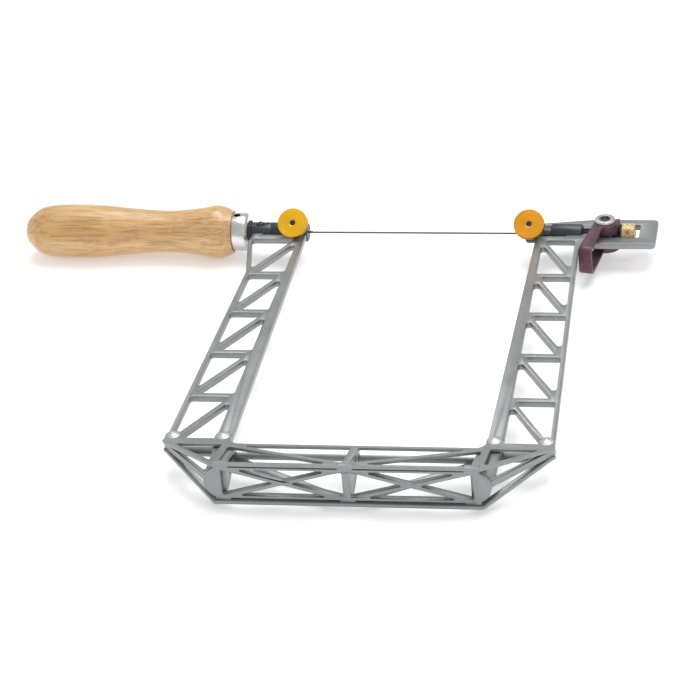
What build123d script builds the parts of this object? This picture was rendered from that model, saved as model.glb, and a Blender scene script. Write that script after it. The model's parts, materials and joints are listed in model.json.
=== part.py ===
from build123d import *
import os
from math import atan, cos, hypot, radians, sin, tan

# Deep-throat fret saw with a folded "birdcage" spine, in millimetres.
# X runs along the blade from the handle to the tension lever, Y from the spine to the blade and
# Z is square to the frame. Every piece is built about the middle of the blade's clamps, and the
# whole saw is then put on the floor with its origin under the middle of its box.

# ---- main sizes ----
THROAT = 203.2              # blade line to the back edge of the spine
CLAMP_GAP = 112.0           # free blade between the two clamp heads
ARM_GAP = CLAMP_GAP + 6.4   # between the inner edges of the arms
FRAME_MID = 2.7             # the frame's middle, past the middle of the clamps
GRIP_LENGTH = 110.6
GRIP_DIAMETER = 27.8

# ---- clearances ----
RUN_CLEAR = 0.05            # radial, for a part that turns or slides on another
GUIDE_CLEAR = 0.06          # slider in its slot
SIDE_CLEAR = 0.1            # end faces that pass each other
THREAD_CLEAR = 0.05         # plain threads, nut over screw

# ---- arms ----
ARM_THICK = 3.2
ARM_DEPTH_OUT = ARM_GAP / 2 + 23.8  # frame middle to the outer edge, at ARM_DEPTH_AT
ARM_DEPTH_AT = 44.0
ARM_TAPER = 0.0455          # outer edge spreads this much for each mm towards the spine
INNER_RAIL = 3.2            # width of the inner rail at the blade line
INNER_RAIL_GROWTH = 0.0205
OUTER_RAIL = 2.2
STRUT = 3.0
DIAGONAL = 2.5
BAY_START = 9.8             # blade line to the first window
FIRST_BAY = 33.5
BAY_GROWTH = 0.9
BAYS = 5
WINDOW_RADIUS = 1.4
CLAMP_RELIEF = 5.6          # blade line to the arm's edge under a clamp head

# ---- spine cage ----
SHEET_THICK = 1.6
SHEET_OUT = 0.5             # sheets stand proud of the arms' outer edges
CAGE_DEPTH = 28.7           # back edge of the spine to its front edge
CAGE_HEIGHT = 22.1          # over both sheets, at the front
CAGE_HALF = ARM_GAP / 2 + 2.3       # frame middle to the front corners of a sheet
BACK_RAIL = 2.8
FRONT_RAIL = 2.7
CAGE_POST = 3.6
CAGE_CROSS = 3.6
CAGE_DIAGONAL = 3.2
CAGE_SLANT = 2.8
CAGE_POST_OUT = 2.7         # arm's inner edge to the post's outer side
CAGE_BAR = 1.5              # back edge of the spine to the end window
FOOT_BAR = 2.2
FOOT_RAIL = 6.8
FOOT_SHORT = 0.4            # arm's foot inside the outer corner of the sheets
FOOT_RADIUS = 0.8
END_BAR = 4.3               # spine back edge to the foot of the last truss bay of an arm
RIVET_BACK = 6.0            # rivet line to the back edge of the spine
RIVET_IN = ARM_GAP / 2 + 3.6        # frame middle to the inner rivets
RIVET_OUT = ARM_GAP / 2 + 27.2
RIVET_RADIUS = 1.6
RIVET_HEAD = 3.15
RIVET_DOME = 1.1
PAD_RADIUS = 3.8
PAD_BAR = 4.0               # back edge of the spine to the bar between two pads
PAD_FOOT = 1.5              # back edge of the spine to the outer pad's foot
PAD_CORNER = 4.5            # inside corner where the back rail meets a pad
FOOT_TOP = 1.4              # back edge of the spine to the window in an arm's foot
GAP_LAP = 0.5               # how far the gap between two rivets runs into the windows

WEB_THICK = 3.2
WEB_INSET = 1.0             # web's face behind the front edge of the sheets
WEB_HEIGHT = 16.4
WEB_HALF = ARM_GAP / 2 + 6.2        # frame middle to the tip of a rounded end
WEB_RAIL = 1.2
WEB_BAR = 1.8
WEB_POST = 3.5
WEB_WINDOW_END = ARM_GAP / 2 - 1.9
WEB_BAR_REACH = ARM_GAP / 2 - 2.2   # where the crossed bars would meet the rails' middles
WEB_TAB = 7.0
TAB_ROOM = (0.05, 0.02)     # beside and across a tab in its slot
TAB_SHORT = 0.5             # tab's end below the sheet's outer surface
LOBE_START = ARM_GAP / 2 - 3.2      # where the web's rounded end begins

BRACE_THICK = 3.2
BRACE_POST = 7.0
BRACE_BAR = 2.2
BRACE_IN = 0.2              # end braces inside the arms' inner edges

# ---- handle ----
FERRULE_DIAMETER = 19.6
FERRULE_WALL = 0.9
FERRULE_LENGTH = 10.6
FERRULE_SUNK = 2.3          # how far it is let into the grip
FERRULE_BEVEL = 1.2
FERRULE_HOLE = 1.75
FERRULE_FRONT = 1.5         # thickness of its end wall
GRIP_GAP = 0.15             # round the ferrule, in the grip's counterbore
GRIP_NOSE = 0.76            # radius of the nose, as a share of the fattest part
TANG_BORE = 40.0            # solid butt behind the tang
BAR_DIAMETER = 9.9
TANG_DIAMETER = 6.0
TANG_LENGTH = 55.0
LOCK_NUT_FLATS = 10.2
LOCK_NUT_THICK = 1.3

# ---- fixed clamp ----
HOUSING_END = 19.0          # clamp head's tip to the face of the fixed housing
HOUSING_LENGTH = 10.6
HOUSING_LIP = 1.0           # housing left of the arm's tongue
TONGUE_IN = 1.8             # how far the arm's tongue passes the blade line
TONGUE_SHORT = 0.7          # tongue's tip short of the swivel's bore
CROSS_EDGE = 2.2            # tongue's tip to its cross screw
FLARE_END = 14.0            # blade line to the end of the arm's flare
FLARE_OUT = 0.6
CROSS_SCREW = 1.0           # radius
CROSS_HEAD = 1.9
CROSS_HEAD_TALL = 1.4
CROSS_NUT_FLATS = 3.2
CROSS_NUT_TALL = 1.7

# ---- clamp heads, alike at both ends ----
SWIVEL_REST = 45.0          # the clamps stand turned to the first stop
HEAD_DIAMETER = 9.9
TENSION_HEAD = 9.5          # length of the tension head before its neck
NECK_DIAMETER = 7.6
NECK_LENGTH = 3.9
SPIGOT_DIAMETER = 5.0
SPIGOT_LENGTH = 3.1
SPIGOT_GROOVE = 0.7
KEEPER_RADIUS = 0.5
BALL_RADIUS = 0.55
BALL_WALL = 0.1             # metal between the ball's hole and the spigot's bore
BALL_CIRCLE = SPIGOT_DIAMETER / 2 + RUN_CLEAR + BALL_RADIUS + BALL_WALL
BALL_TRACK = 0.2
SPRING_LENGTH = 1.6
SPRING_WALL = 0.2
SCREW_RADIUS = 1.0
SCREW_SIDE = 1.65           # clamp screw beside the blade line
FIXED_SCREW_BACK = 6.5      # clamp screw behind the head's tip
TENSION_SCREW_BACK = 2.8
KNOB_DIAMETER = 15.6
KNOB_THICK = 2.7
KNOB_NECK = 4.65            # hub between the washer and the knob's disc
KNOB_HUB = 2.5              # radius
KNOB_BEVEL = 0.4
KNOB_DISH = 1.45            # radius of the hole in its face
KNOB_DISH_DEEP = 1.1
HEAD_FLAT = 3.8             # seat of the washer, above the clamp's axis
WASHER_THICK = 0.5
WASHER_RADIUS = 2.5
WASHER_HOLE = 1.1

# ---- blade ----
BLADE_LENGTH = CLAMP_GAP + 18.0
BLADE_WIDTH = 1.1
BLADE_THICK = 0.45
BLADE_SHIFT = 1.5           # blade sits this much nearer the handle
BLADE_END_ROOM = 0.5        # behind the blade's end in the fixed head
TOOTH_PITCH = 1.4
TOOTH_DEPTH = 0.35
TOOTHED = CLAMP_GAP - 4.0

# ---- tension end ----
TANG_END = 8.7              # end of the tang past the wide slot
TANG_NEAR = 13.0
TANG_FAR = 11.7
TANG_CORNER = 2.6
PRONG_TIP = 7.3             # far edge of the fork at its open end
PRONG_RUN = 28.0            # over which it widens
NECK_DROP = 6.0             # how far below the tang the arm starts to widen into it
NECK_OUT = (1.4, 4.5)       # width gained at the neck, in two steps
NECK_STEP = 1.6
SLOT_WIDTH = 5.6             # fork's slot where it guides the slider
SLOT_LATE = 7.6             # slider's face to the start of its slot
WIDE_SLOT = 13.0
WIDE_SLOT_LENGTH = 17.2     # pivot to the slot's far end
SLIDER_DIAMETER = 9.9
SLIDER_LENGTH = 15.8
SLIDER_CHAMFER = 0.8
ROD_RADIUS = 1.5
ROD_SHORT = 0.8             # rod's end inside the nut
PIVOT_FAR = 27.0            # slider's face to the pivot
COLLAR_RADIUS = 4.8
COLLAR_HALF = 2.1
SEAT_DEEP = 0.8             # arm's shoulder in the collar's notch
BARREL_RADIUS = 3.25
ROD_HOLE = ROD_RADIUS + 0.2
PIVOT_HEAD = 5.35           # radius
PIVOT_HEAD_TALL = 1.2
PIVOT_SOCKET_DEEP = 0.9
PIVOT_SOCKET_FLATS = 4.0
PIVOT_SHANK = 1.5
PIVOT_SHANK_LONG = 5.0

# ---- lever ----
LEVER_REACH = 30.2
LEVER_HALF = 7.6            # frame's middle plane to the outer face of an arm
LEVER_WALL = 1.8
LEVER_BEND = 3.5
LEVER_WIDTH = 5.1           # at the boss
LEVER_WIDTH_END = 6.8
LEVER_OFFSET = 2.2          # strap's middle to the pivot, sideways
LEVER_ANGLE = -100.0        # direction of the lever when closed
LEVER_TRAVEL = 100.0
CAM_RISE = 1.0              # pull of the cam over the lever's travel
CAM_HIGH = 7.55             # pivot to the washer with the lever closed
CAM_BACK = 5.6              # radius of the cam's idle side

# ---- tension nut ----
THRUST_THICK = 0.4
THRUST_RADIUS = 5.0
NUT_RADIUS = 5.2
NUT_LENGTH = 7.05
NUT_CHAMFER = 0.5
KNURLS = 24
KNURL_DEEP = 0.25

# ---- worked out from the sizes above ----
HALF = ARM_THICK / 2
ARM_IN = ARM_GAP / 2
LEFT_TIP = -CLAMP_GAP / 2
RIGHT_TIP = CLAMP_GAP / 2
HOUSING_FACE = LEFT_TIP - HOUSING_END
HOUSING_BACK = HOUSING_FACE - HOUSING_LENGTH
SLIDER_FACE = RIGHT_TIP + TENSION_HEAD + NECK_LENGTH
SLIDER_BACK = SLIDER_FACE + SLIDER_LENGTH
PIVOT_X = SLIDER_FACE + PIVOT_FAR
SLOT_START = SLIDER_FACE + SLOT_LATE
CAGE_SLOPE = atan((CAGE_HEIGHT / 2 - HALF - SHEET_THICK) / CAGE_DEPTH)
CAGE_FRONT = -THROAT - CAGE_DEPTH
WEB_FACE = CAGE_FRONT + WEB_INSET
WEB_BACK = WEB_FACE + WEB_THICK
RIVET_Y = -THROAT + RIVET_BACK
TONGUE_OUT = FRAME_MID - HOUSING_BACK - HOUSING_LIP
TONGUE_TIP = FRAME_MID - HOUSING_FACE + SPIGOT_LENGTH + TONGUE_SHORT
CROSS_X = HOUSING_FACE - SPIGOT_LENGTH - TONGUE_SHORT - CROSS_EDGE
FLARE_HALF = TONGUE_OUT + FLARE_OUT
KNOB_UNDER = HEAD_FLAT + WASHER_THICK + KNOB_NECK


def spread(y):
    """Outer edge of an arm, from the frame's middle."""
    return ARM_DEPTH_OUT + ARM_TAPER * (-y - ARM_DEPTH_AT)


def flared(y):
    """Outer edge of the handle's arm, which widens again towards the housing."""
    if y < -ARM_DEPTH_AT:
        return spread(y)
    share = (y + ARM_DEPTH_AT) / (ARM_DEPTH_AT - FLARE_END)
    return spread(-ARM_DEPTH_AT) + share * (FLARE_HALF - spread(-ARM_DEPTH_AT))


def inner_window(y):
    return ARM_IN + INNER_RAIL - INNER_RAIL_GROWTH * y


def meet(a, b, c, d):
    """Where the line through a and b crosses the line through c and d."""
    (x1, y1), (x2, y2), (x3, y3), (x4, y4) = a, b, c, d
    bottom = (x1 - x2) * (y3 - y4) - (y1 - y2) * (x3 - x4)
    first = x1 * y2 - y1 * x2
    second = x3 * y4 - y3 * x4
    x = (first * (x3 - x4) - (x1 - x2) * second) / bottom
    y = (first * (y3 - y4) - (y1 - y2) * second) / bottom
    return x, y


def beside(a, b, offset):
    """The line through a and b, moved to its left by offset."""
    run = hypot(b[0] - a[0], b[1] - a[1])
    nx = -(b[1] - a[1]) / run * offset
    ny = (b[0] - a[0]) / run * offset
    return (a[0] + nx, a[1] + ny), (b[0] + nx, b[1] + ny)


def polygon(points, radius=0):
    """A face with straight sides and, if asked, rounded corners."""
    face = make_face(Polyline(*points, close=True))
    if radius:
        face = fillet(face.vertices(), radius)
    return face


def plate(face, low, high):
    """The face as a plate from z = low to z = high."""
    return extrude(Pos(0, 0, low) * face, high - low, dir=(0, 0, 1))


def disc(radius, low, high, x=0, y=0):
    return Pos(x, y, (low + high) / 2) * Cylinder(radius, high - low)


def rod(radius, low, high, y=0, z=0):
    """A cylinder along X."""
    return Pos((low + high) / 2, y, z) * Rot(0, 90, 0) * Cylinder(radius, high - low)


def hexagon(flats, low, high, x=0, y=0):
    face = Pos(x, y) * RegularPolygon(flats / 3 ** 0.5, 6)
    return plate(face, low, high)


def block(x, y, z):
    """A box from three pairs of limits."""
    size = (x[1] - x[0], y[1] - y[0], z[1] - z[0])
    return Pos((x[0] + x[1]) / 2, (y[0] + y[1]) / 2, (z[0] + z[1]) / 2) * Box(*size)


def on_side(shape, side):
    """A shape drawn outward from the frame's middle, put on one side of the frame."""
    placed = shape if side > 0 else mirror(shape, Plane.YZ)
    return Pos(FRAME_MID, 0, 0) * placed


# ---- arms ----
def truss_bays():
    """Start and end of each bay, from the blade towards the spine."""
    bays = []
    start = -BAY_START
    for number in range(BAYS):
        end = start - FIRST_BAY - BAY_GROWTH * number
        if number == BAYS - 1:
            end = -THROAT + END_BAR - SHEET_THICK
        bays.append((start, end))
        start = end - STRUT
    return bays


def bay_windows(top, bottom, edge):
    """The two triangular windows of a bay, either side of its diagonal."""
    foot = (edge(bottom) - OUTER_RAIL, bottom)
    corner = (edge(top) - OUTER_RAIL, top)
    head = (inner_window(top), top)
    roof = (head, corner)
    sill = (foot, (inner_window(bottom), bottom))
    outer = (corner, foot)
    inner = (head, (inner_window(bottom), bottom))
    upper = beside(foot, head, -DIAGONAL / 2)
    lower = beside(foot, head, DIAGONAL / 2)
    first = [outer[0], meet(*upper, *roof), meet(*upper, *outer)]
    second = [meet(*lower, *inner), inner[1], meet(*lower, *sill)]
    return polygon(first, WINDOW_RADIUS) + polygon(second, WINDOW_RADIUS)


def foot_outline():
    """The arm's foot reaches between the sheets to the back of the web."""
    tip_out = CAGE_HALF + WEB_THICK + WEB_INSET - FOOT_SHORT
    return [
        (ARM_IN, WEB_BACK),
        (tip_out, WEB_BACK),
        (spread(-THROAT) - 0.1, -THROAT + 2),
    ]


def foot_window():
    slant = (foot_outline()[1], foot_outline()[2])
    inside = beside(*slant, FOOT_BAR)
    rail = ((ARM_IN + FOOT_RAIL, -THROAT), (ARM_IN + FOOT_RAIL, WEB_BACK))
    top = ((ARM_IN, -THROAT - FOOT_TOP), (RIVET_OUT, -THROAT - FOOT_TOP))
    corners = [meet(*rail, *top), meet(*rail, *inside), meet(*inside, *top)]
    return polygon(corners, FOOT_RADIUS)


def rivet_gap():
    """An arm is open between its two rivets, where the sheets tie it."""
    near = RIVET_IN + PAD_RADIUS
    far = RIVET_OUT - PAD_RADIUS
    top = truss_bays()[-1][1] + GAP_LAP
    low = -THROAT - FOOT_TOP - GAP_LAP
    return polygon([(near, low), (far, low), (far, top), (near, top)])


def arm_cuts(edge):
    cuts = foot_window() + rivet_gap()
    for top, bottom in truss_bays():
        cuts += bay_windows(top, bottom, edge)
    for u in (RIVET_IN, RIVET_OUT):
        cuts -= Pos(u, RIVET_Y) * Circle(PAD_RADIUS)
        cuts += Pos(u, RIVET_Y) * Circle(RIVET_RADIUS)
    return cuts


def handle_arm():
    outline = foot_outline() + [
        (spread(-ARM_DEPTH_AT), -ARM_DEPTH_AT),
        (FLARE_HALF, -FLARE_END),
        (TONGUE_OUT, -CLAMP_RELIEF - 2.7),
        (TONGUE_OUT, TONGUE_IN),
        (TONGUE_TIP, TONGUE_IN),
        (TONGUE_TIP, -CLAMP_RELIEF),
        (ARM_IN, -CLAMP_RELIEF),
    ]
    face = polygon(outline) - arm_cuts(flared)
    face -= Pos(FRAME_MID - CROSS_X, 0) * Circle(CROSS_SCREW)
    return on_side(plate(face, -HALF, HALF), -1)


def tension_arm():
    prong = SLOT_START - FRAME_MID
    shoulder = PIVOT_X - COLLAR_RADIUS + SEAT_DEEP - FRAME_MID
    slot_end = PIVOT_X + WIDE_SLOT_LENGTH - FRAME_MID
    right = slot_end + TANG_END
    neck = spread(-TANG_NEAR - NECK_DROP)
    body = polygon(foot_outline() + [
        (neck, -TANG_NEAR - NECK_DROP),
        (neck + NECK_OUT[0], -TANG_NEAR - NECK_STEP),
        (neck + NECK_OUT[1], -TANG_NEAR),
        (right - 20, -TANG_NEAR),
        (right - 20, 0),
        (ARM_IN, 0),
    ])
    tang = polygon([(ARM_IN + 8, -TANG_NEAR + 5), (neck + 2, -TANG_NEAR), (right, -TANG_NEAR),
                    (right, TANG_FAR), (ARM_IN + PRONG_RUN, TANG_FAR), (ARM_IN, PRONG_TIP),
                    (ARM_IN, 0)])
    ends = [v for v in tang.vertices() if v.X > right - 1]
    face = body + fillet(ends, TANG_CORNER)
    face -= polygon([(ARM_IN - 5, -CLAMP_RELIEF), (prong, -CLAMP_RELIEF), (prong, CLAMP_RELIEF),
                     (ARM_IN - 5, CLAMP_RELIEF)])
    face -= polygon([(prong - 1, -SLOT_WIDTH / 2), (shoulder + 1, -SLOT_WIDTH / 2),
                     (shoulder + 1, SLOT_WIDTH / 2), (prong - 1, SLOT_WIDTH / 2)])
    wide = [(shoulder, -WIDE_SLOT / 2), (slot_end, -WIDE_SLOT / 2),
            (slot_end, WIDE_SLOT / 2), (shoulder, WIDE_SLOT / 2)]
    face -= polygon(wide, 0.8)
    face -= arm_cuts(spread)
    return on_side(plate(face, -HALF, HALF), 1)


# ---- spine cage ----
def sheet_top(y):
    """Outer surface of the upper sheet."""
    return HALF + SHEET_THICK + max(0, -THROAT - y) * tan(CAGE_SLOPE)


def folded_strip():
    """The bent sheet before its windows are cut, as wide as the saw."""
    steep = SHEET_THICK / cos(CAGE_SLOPE)
    kink = (steep - SHEET_THICK) / tan(CAGE_SLOPE)
    end = RIVET_Y + PAD_RADIUS + 1
    section = [
        (end, HALF),
        (end, HALF + SHEET_THICK),
        (-THROAT, HALF + SHEET_THICK),
        (CAGE_FRONT, sheet_top(CAGE_FRONT)),
        (CAGE_FRONT, sheet_top(CAGE_FRONT) - steep),
        (-THROAT - kink, HALF),
    ]
    face = Plane.YZ * polygon(section)
    width = 2 * spread(-THROAT) + 10
    return Pos(-width / 2, 0, 0) * extrude(face, width, dir=(1, 0, 0))


def sheet_outline():
    pad = RIVET_Y + PAD_RADIUS
    outer = spread(-THROAT) + SHEET_OUT
    half = polygon([
        (0, -THROAT),
        (ARM_IN, -THROAT),
        (ARM_IN, RIVET_Y),
        (outer - 1.2, RIVET_Y),
        (outer, -THROAT + PAD_FOOT),
        (CAGE_HALF, CAGE_FRONT),
        (0, CAGE_FRONT),
    ])
    half -= polygon([(RIVET_IN + PAD_RADIUS, pad), (RIVET_IN + PAD_RADIUS, -THROAT + PAD_BAR),
                     (RIVET_OUT - PAD_RADIUS, -THROAT + PAD_BAR), (RIVET_OUT - PAD_RADIUS, pad)])
    half += Pos(RIVET_IN, RIVET_Y) * Circle(PAD_RADIUS)
    half += Pos(RIVET_OUT, RIVET_Y) * Circle(PAD_RADIUS)
    half += flare_corner()
    half &= polygon([(0, CAGE_FRONT - 1), (outer + 4, CAGE_FRONT - 1), (outer + 4, pad), (0, pad)])
    return half


def flare_corner():
    """Rounded inside corner where the back rail meets the arm's pad."""
    reach = PAD_CORNER
    corner = polygon([(ARM_IN - reach, -THROAT), (ARM_IN, -THROAT), (ARM_IN, -THROAT + reach)])
    return corner - Pos(ARM_IN - reach, -THROAT + reach) * Circle(reach)


def sheet_windows():
    """End window, front window and back window of one half of a sheet."""
    post_out = ARM_IN + CAGE_POST_OUT
    post_in = post_out - CAGE_POST
    back = -THROAT - BACK_RAIL
    front = CAGE_FRONT + FRONT_RAIL
    cross = CAGE_CROSS / 2
    outer = spread(-THROAT) + SHEET_OUT
    slant = beside((CAGE_HALF, CAGE_FRONT), (outer, -THROAT + PAD_FOOT), CAGE_SLANT)
    bar_y = -THROAT - CAGE_BAR
    bar = ((0, bar_y), (10, bar_y))
    post = ((post_out, back), (post_out, front))
    end = [meet(*post, *bar), meet(*slant, *bar), meet(*slant, *post)]
    tie = ((cross, front), (post_in, back))
    under = beside(*tie, -CAGE_DIAGONAL / 2)
    over = beside(*tie, CAGE_DIAGONAL / 2)
    inner_post = ((post_in, back), (post_in, front))
    middle = ((cross, back), (cross, front))
    rear = ((0, back), (10, back))
    fore = ((0, front), (10, front))
    first = [meet(*under, *inner_post), (post_in, front), meet(*under, *fore)]
    second = [(cross, back), meet(*over, *rear), meet(*over, *middle)]
    return [polygon(end, 0.8), polygon(first, 1.0), polygon(second, 1.0)]


def tab_holes():
    """Slots for the web's tabs, on the frame's right half."""
    holes = []
    for centre in (0, WEB_BAR_REACH):
        reach = WEB_TAB / 2 + TAB_ROOM[0]
        hole = block((centre - reach, centre + reach),
                     (WEB_FACE - TAB_ROOM[1], WEB_BACK + TAB_ROOM[1]), (0, CAGE_HEIGHT))
        holes.append(hole)
    return holes


def cage_sheet(side):
    half = sheet_outline()
    for window in sheet_windows():
        half -= window
    for u in (RIVET_IN, RIVET_OUT):
        half -= Pos(u, RIVET_Y) * Circle(RIVET_RADIUS)
    cut = plate(half, 0, CAGE_HEIGHT)
    for hole in tab_holes():
        cut -= hole
    whole = (cut + mirror(cut, Plane.YZ)) & folded_strip()
    if side < 0:
        whole = mirror(whole, Plane.XY)
    return Pos(FRAME_MID, 0, 0) * whole


def web_half():
    """One half of the web, drawn in the frame's X and Z."""
    top = WEB_HEIGHT / 2
    body = make_face(Polyline((0, -top), (LOBE_START, -top))
                     + ThreePointArc((LOBE_START, -top), (WEB_HALF, 0), (LOBE_START, top))
                     + Polyline((LOBE_START, top), (0, top), (0, -top)))
    tab_top = sheet_top(WEB_FACE) - TAB_SHORT
    for centre in (0, WEB_BAR_REACH):
        body += Pos(centre, 0) * Rectangle(WEB_TAB, 2 * tab_top)
    body &= Pos(WEB_HALF / 2, 0) * Rectangle(WEB_HALF, 4 * top)
    return body


def web_windows():
    """Four windows left by a pair of crossed bars, on one half of the web."""
    rail = WEB_HEIGHT / 2 - WEB_RAIL
    far = WEB_HEIGHT / 2 - WEB_RAIL / 2
    near = WEB_POST / 2
    low = ((near, -far), (WEB_BAR_REACH, far))
    high = ((near, far), (WEB_BAR_REACH, -far))
    post = ((near, -1), (near, 1))
    end = ((WEB_WINDOW_END, -1), (WEB_WINDOW_END, 1))
    roof = ((0, rail), (1, rail))
    sill = ((0, -rail), (1, -rail))
    step = WEB_BAR / 2
    low_over, low_under = beside(*low, step), beside(*low, -step)
    high_over, high_under = beside(*high, step), beside(*high, -step)
    left = [meet(*post, *low_over), meet(*post, *high_under), meet(*low_over, *high_under)]
    right = [meet(*end, *low_under), meet(*end, *high_over), meet(*low_under, *high_over)]
    upper = [meet(*roof, *low_over), meet(*roof, *high_over), meet(*low_over, *high_over)]
    lower = [meet(*sill, *low_under), meet(*sill, *high_under), meet(*low_under, *high_under)]
    return [polygon(corners, 0.5) for corners in (left, right, upper, lower)]


def cage_web():
    half = web_half()
    for window in web_windows():
        half -= window
    both = half + mirror(half, Plane.YZ)
    solid = extrude(Plane.XZ * both, WEB_THICK, dir=(0, 1, 0))
    return Pos(FRAME_MID, WEB_FACE, 0) * solid


def cage_brace(number):
    """Triangular plate inside the cage: number is -1, 0 or 1, from the handle's end."""
    inside = sheet_top(WEB_BACK) - SHEET_THICK / cos(CAGE_SLOPE)
    kink = (SHEET_THICK / cos(CAGE_SLOPE) - SHEET_THICK) / tan(CAGE_SLOPE)
    tip = -THROAT - kink
    outline = [(WEB_BACK, -inside), (tip, -HALF), (tip + 0.2, -HALF), (tip + 0.2, HALF),
               (tip, HALF), (WEB_BACK, inside)]
    lower = beside((WEB_BACK, -inside), (tip, -HALF), BRACE_BAR)
    upper = beside((WEB_BACK, inside), (tip, HALF), -BRACE_BAR)
    post = ((WEB_BACK + BRACE_POST, 0), (WEB_BACK + BRACE_POST, 1))
    window = [meet(*lower, *post), meet(*lower, *upper), meet(*upper, *post)]
    face = Plane.YZ * (polygon(outline) - polygon(window, 0.6))
    start = number * (ARM_IN - BRACE_THICK / 2 - BRACE_IN) - BRACE_THICK / 2
    return Pos(FRAME_MID + start, 0, 0) * extrude(face, BRACE_THICK, dir=(1, 0, 0))


def rivet(x):
    """Domed rivet through both sheets and the arm between them."""
    reach = HALF + SHEET_THICK
    shank = disc(RIVET_RADIUS, -reach, reach, x, RIVET_Y)
    ball = (RIVET_HEAD ** 2 + RIVET_DOME ** 2) / (2 * RIVET_DOME)
    cap = Pos(0, 0, RIVET_DOME - ball) * Sphere(ball) & disc(RIVET_HEAD, 0, RIVET_DOME)
    upper = Pos(x, RIVET_Y, reach) * cap
    return shank + upper + mirror(upper, Plane.XY)


def cage_rivets():
    places = [FRAME_MID + side * u for side in (-1, 1) for u in (RIVET_IN, RIVET_OUT)]
    return [rivet(x) for x in places]


# ---- handle ----
def grip():
    """Turned grip: a fat butt, a waist and a round nose against the ferrule."""
    nose = HOUSING_BACK - LOCK_NUT_THICK - FERRULE_LENGTH + FERRULE_SUNK
    butt = nose - GRIP_LENGTH
    full = GRIP_DIAMETER / 2
    along = [0.0, 0.024, 0.088, 0.21, 0.37, 0.53, 0.69, 0.83, 0.93]
    share = [0.0, 0.56, 0.90, 1.0, 0.975, 0.85, 0.775, 0.865, 0.985]
    points = [(butt + a * GRIP_LENGTH, s * full) for a, s in zip(along, share)]
    skin = Spline(*points, tangents=((0, 1), (1, 0)))
    skin += TangentArc(points[-1], (nose, full * GRIP_NOSE), tangent=(1, 0))
    rim = FERRULE_DIAMETER / 2 + GRIP_GAP
    core = FERRULE_DIAMETER / 2 - FERRULE_WALL
    front = HOUSING_BACK - LOCK_NUT_THICK - FERRULE_FRONT - SIDE_CLEAR
    edge = Polyline((nose, full * GRIP_NOSE), (nose, rim), (nose - FERRULE_SUNK, rim),
                    (nose - FERRULE_SUNK, core), (front, core), (front, TANG_DIAMETER / 2),
                    (butt + TANG_BORE, TANG_DIAMETER / 2), (butt + TANG_BORE, 0), (butt, 0))
    return revolve(make_face(skin + edge), Axis.X)


def ferrule():
    nose = HOUSING_BACK - LOCK_NUT_THICK
    outer = FERRULE_DIAMETER / 2
    back = nose - FERRULE_LENGTH
    profile = polygon([
        (back, outer - FERRULE_WALL), (back, outer), (nose - FERRULE_BEVEL, outer),
        (nose, outer - FERRULE_BEVEL), (nose, TANG_DIAMETER / 2),
        (nose - FERRULE_FRONT, TANG_DIAMETER / 2), (nose - FERRULE_FRONT, outer - FERRULE_WALL),
    ])
    cup = revolve(profile, Axis.X)
    return cup - disc(FERRULE_HOLE, 0, outer + 1, (back + nose) / 2 - 0.6)


def lock_nut():
    low, high = HOUSING_BACK - LOCK_NUT_THICK, HOUSING_BACK
    face = Plane.YZ * RegularPolygon(LOCK_NUT_FLATS / 3 ** 0.5, 6)
    nut = Pos(low, 0, 0) * extrude(face, LOCK_NUT_THICK, dir=(1, 0, 0))
    return nut - rod(TANG_DIAMETER / 2, low - 1, high + 1)


# ---- fixed clamp ----
def housing_bar():
    """Housing that straddles the arm's tongue, with the tang that holds the handle."""
    radius = BAR_DIAMETER / 2
    tang_end = HOUSING_BACK - TANG_LENGTH
    bar = rod(radius, HOUSING_BACK, HOUSING_FACE) + rod(TANG_DIAMETER / 2, tang_end, HOUSING_BACK)
    slot_x = (FRAME_MID - TONGUE_OUT, FRAME_MID - TONGUE_TIP)
    bar -= block(slot_x, (-radius - 1, TONGUE_IN), (-HALF, HALF))
    bar -= swivel_bore(HOUSING_FACE, -1)
    bar -= disc(CROSS_SCREW, -radius - 1, radius + 1, CROSS_X)
    for side in (-1, 1):
        seat = sorted((side * (radius - 0.5), side * (radius + 1)))
        bar -= disc(CROSS_HEAD + 0.3, *seat, CROSS_X)
    return bar


def cross_screw():
    """Button-head screw through the housing and the arm."""
    seat = BAR_DIAMETER / 2 - 0.5
    low = -seat - CROSS_NUT_TALL - 0.4
    ball = (CROSS_HEAD ** 2 + CROSS_HEAD_TALL ** 2) / (2 * CROSS_HEAD_TALL)
    dome = Pos(0, 0, CROSS_HEAD_TALL - ball) * Sphere(ball) & disc(CROSS_HEAD, 0, CROSS_HEAD_TALL)
    screw = disc(CROSS_SCREW, low, seat) + Pos(0, 0, seat) * dome
    screw -= hexagon(1.3, seat + 0.5, seat + 2)
    return Pos(CROSS_X, 0, 0) * screw


def cross_nut():
    seat = -BAR_DIAMETER / 2 + 0.5
    nut = hexagon(CROSS_NUT_FLATS, seat - CROSS_NUT_TALL, seat, CROSS_X)
    return nut - disc(CROSS_SCREW, seat - 3, seat + 1, CROSS_X)


# ---- swivel, the same at the fixed and the tension clamp ----
def swivel_bore(face, into):
    """Bore, ball hole, ball track and keeper hole; into is the side the bore runs to."""
    def span(start, length):
        return sorted((face + into * start, face + into * (start + length)))
    bore = rod(SPIGOT_DIAMETER / 2 + RUN_CLEAR, *span(-1, 1 + SPIGOT_LENGTH + SIDE_CLEAR))
    bore += rod(BALL_RADIUS + 0.03, *span(-1, 1 + SPRING_LENGTH + BALL_RADIUS * 2 - BALL_TRACK),
                z=-BALL_CIRCLE)
    keeper = disc(KEEPER_RADIUS, 0, BAR_DIAMETER, face + into * keeper_place())
    return bore + keeper


def keeper_place():
    return SPIGOT_LENGTH - SPIGOT_GROOVE - KEEPER_RADIUS + 0.1


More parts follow.
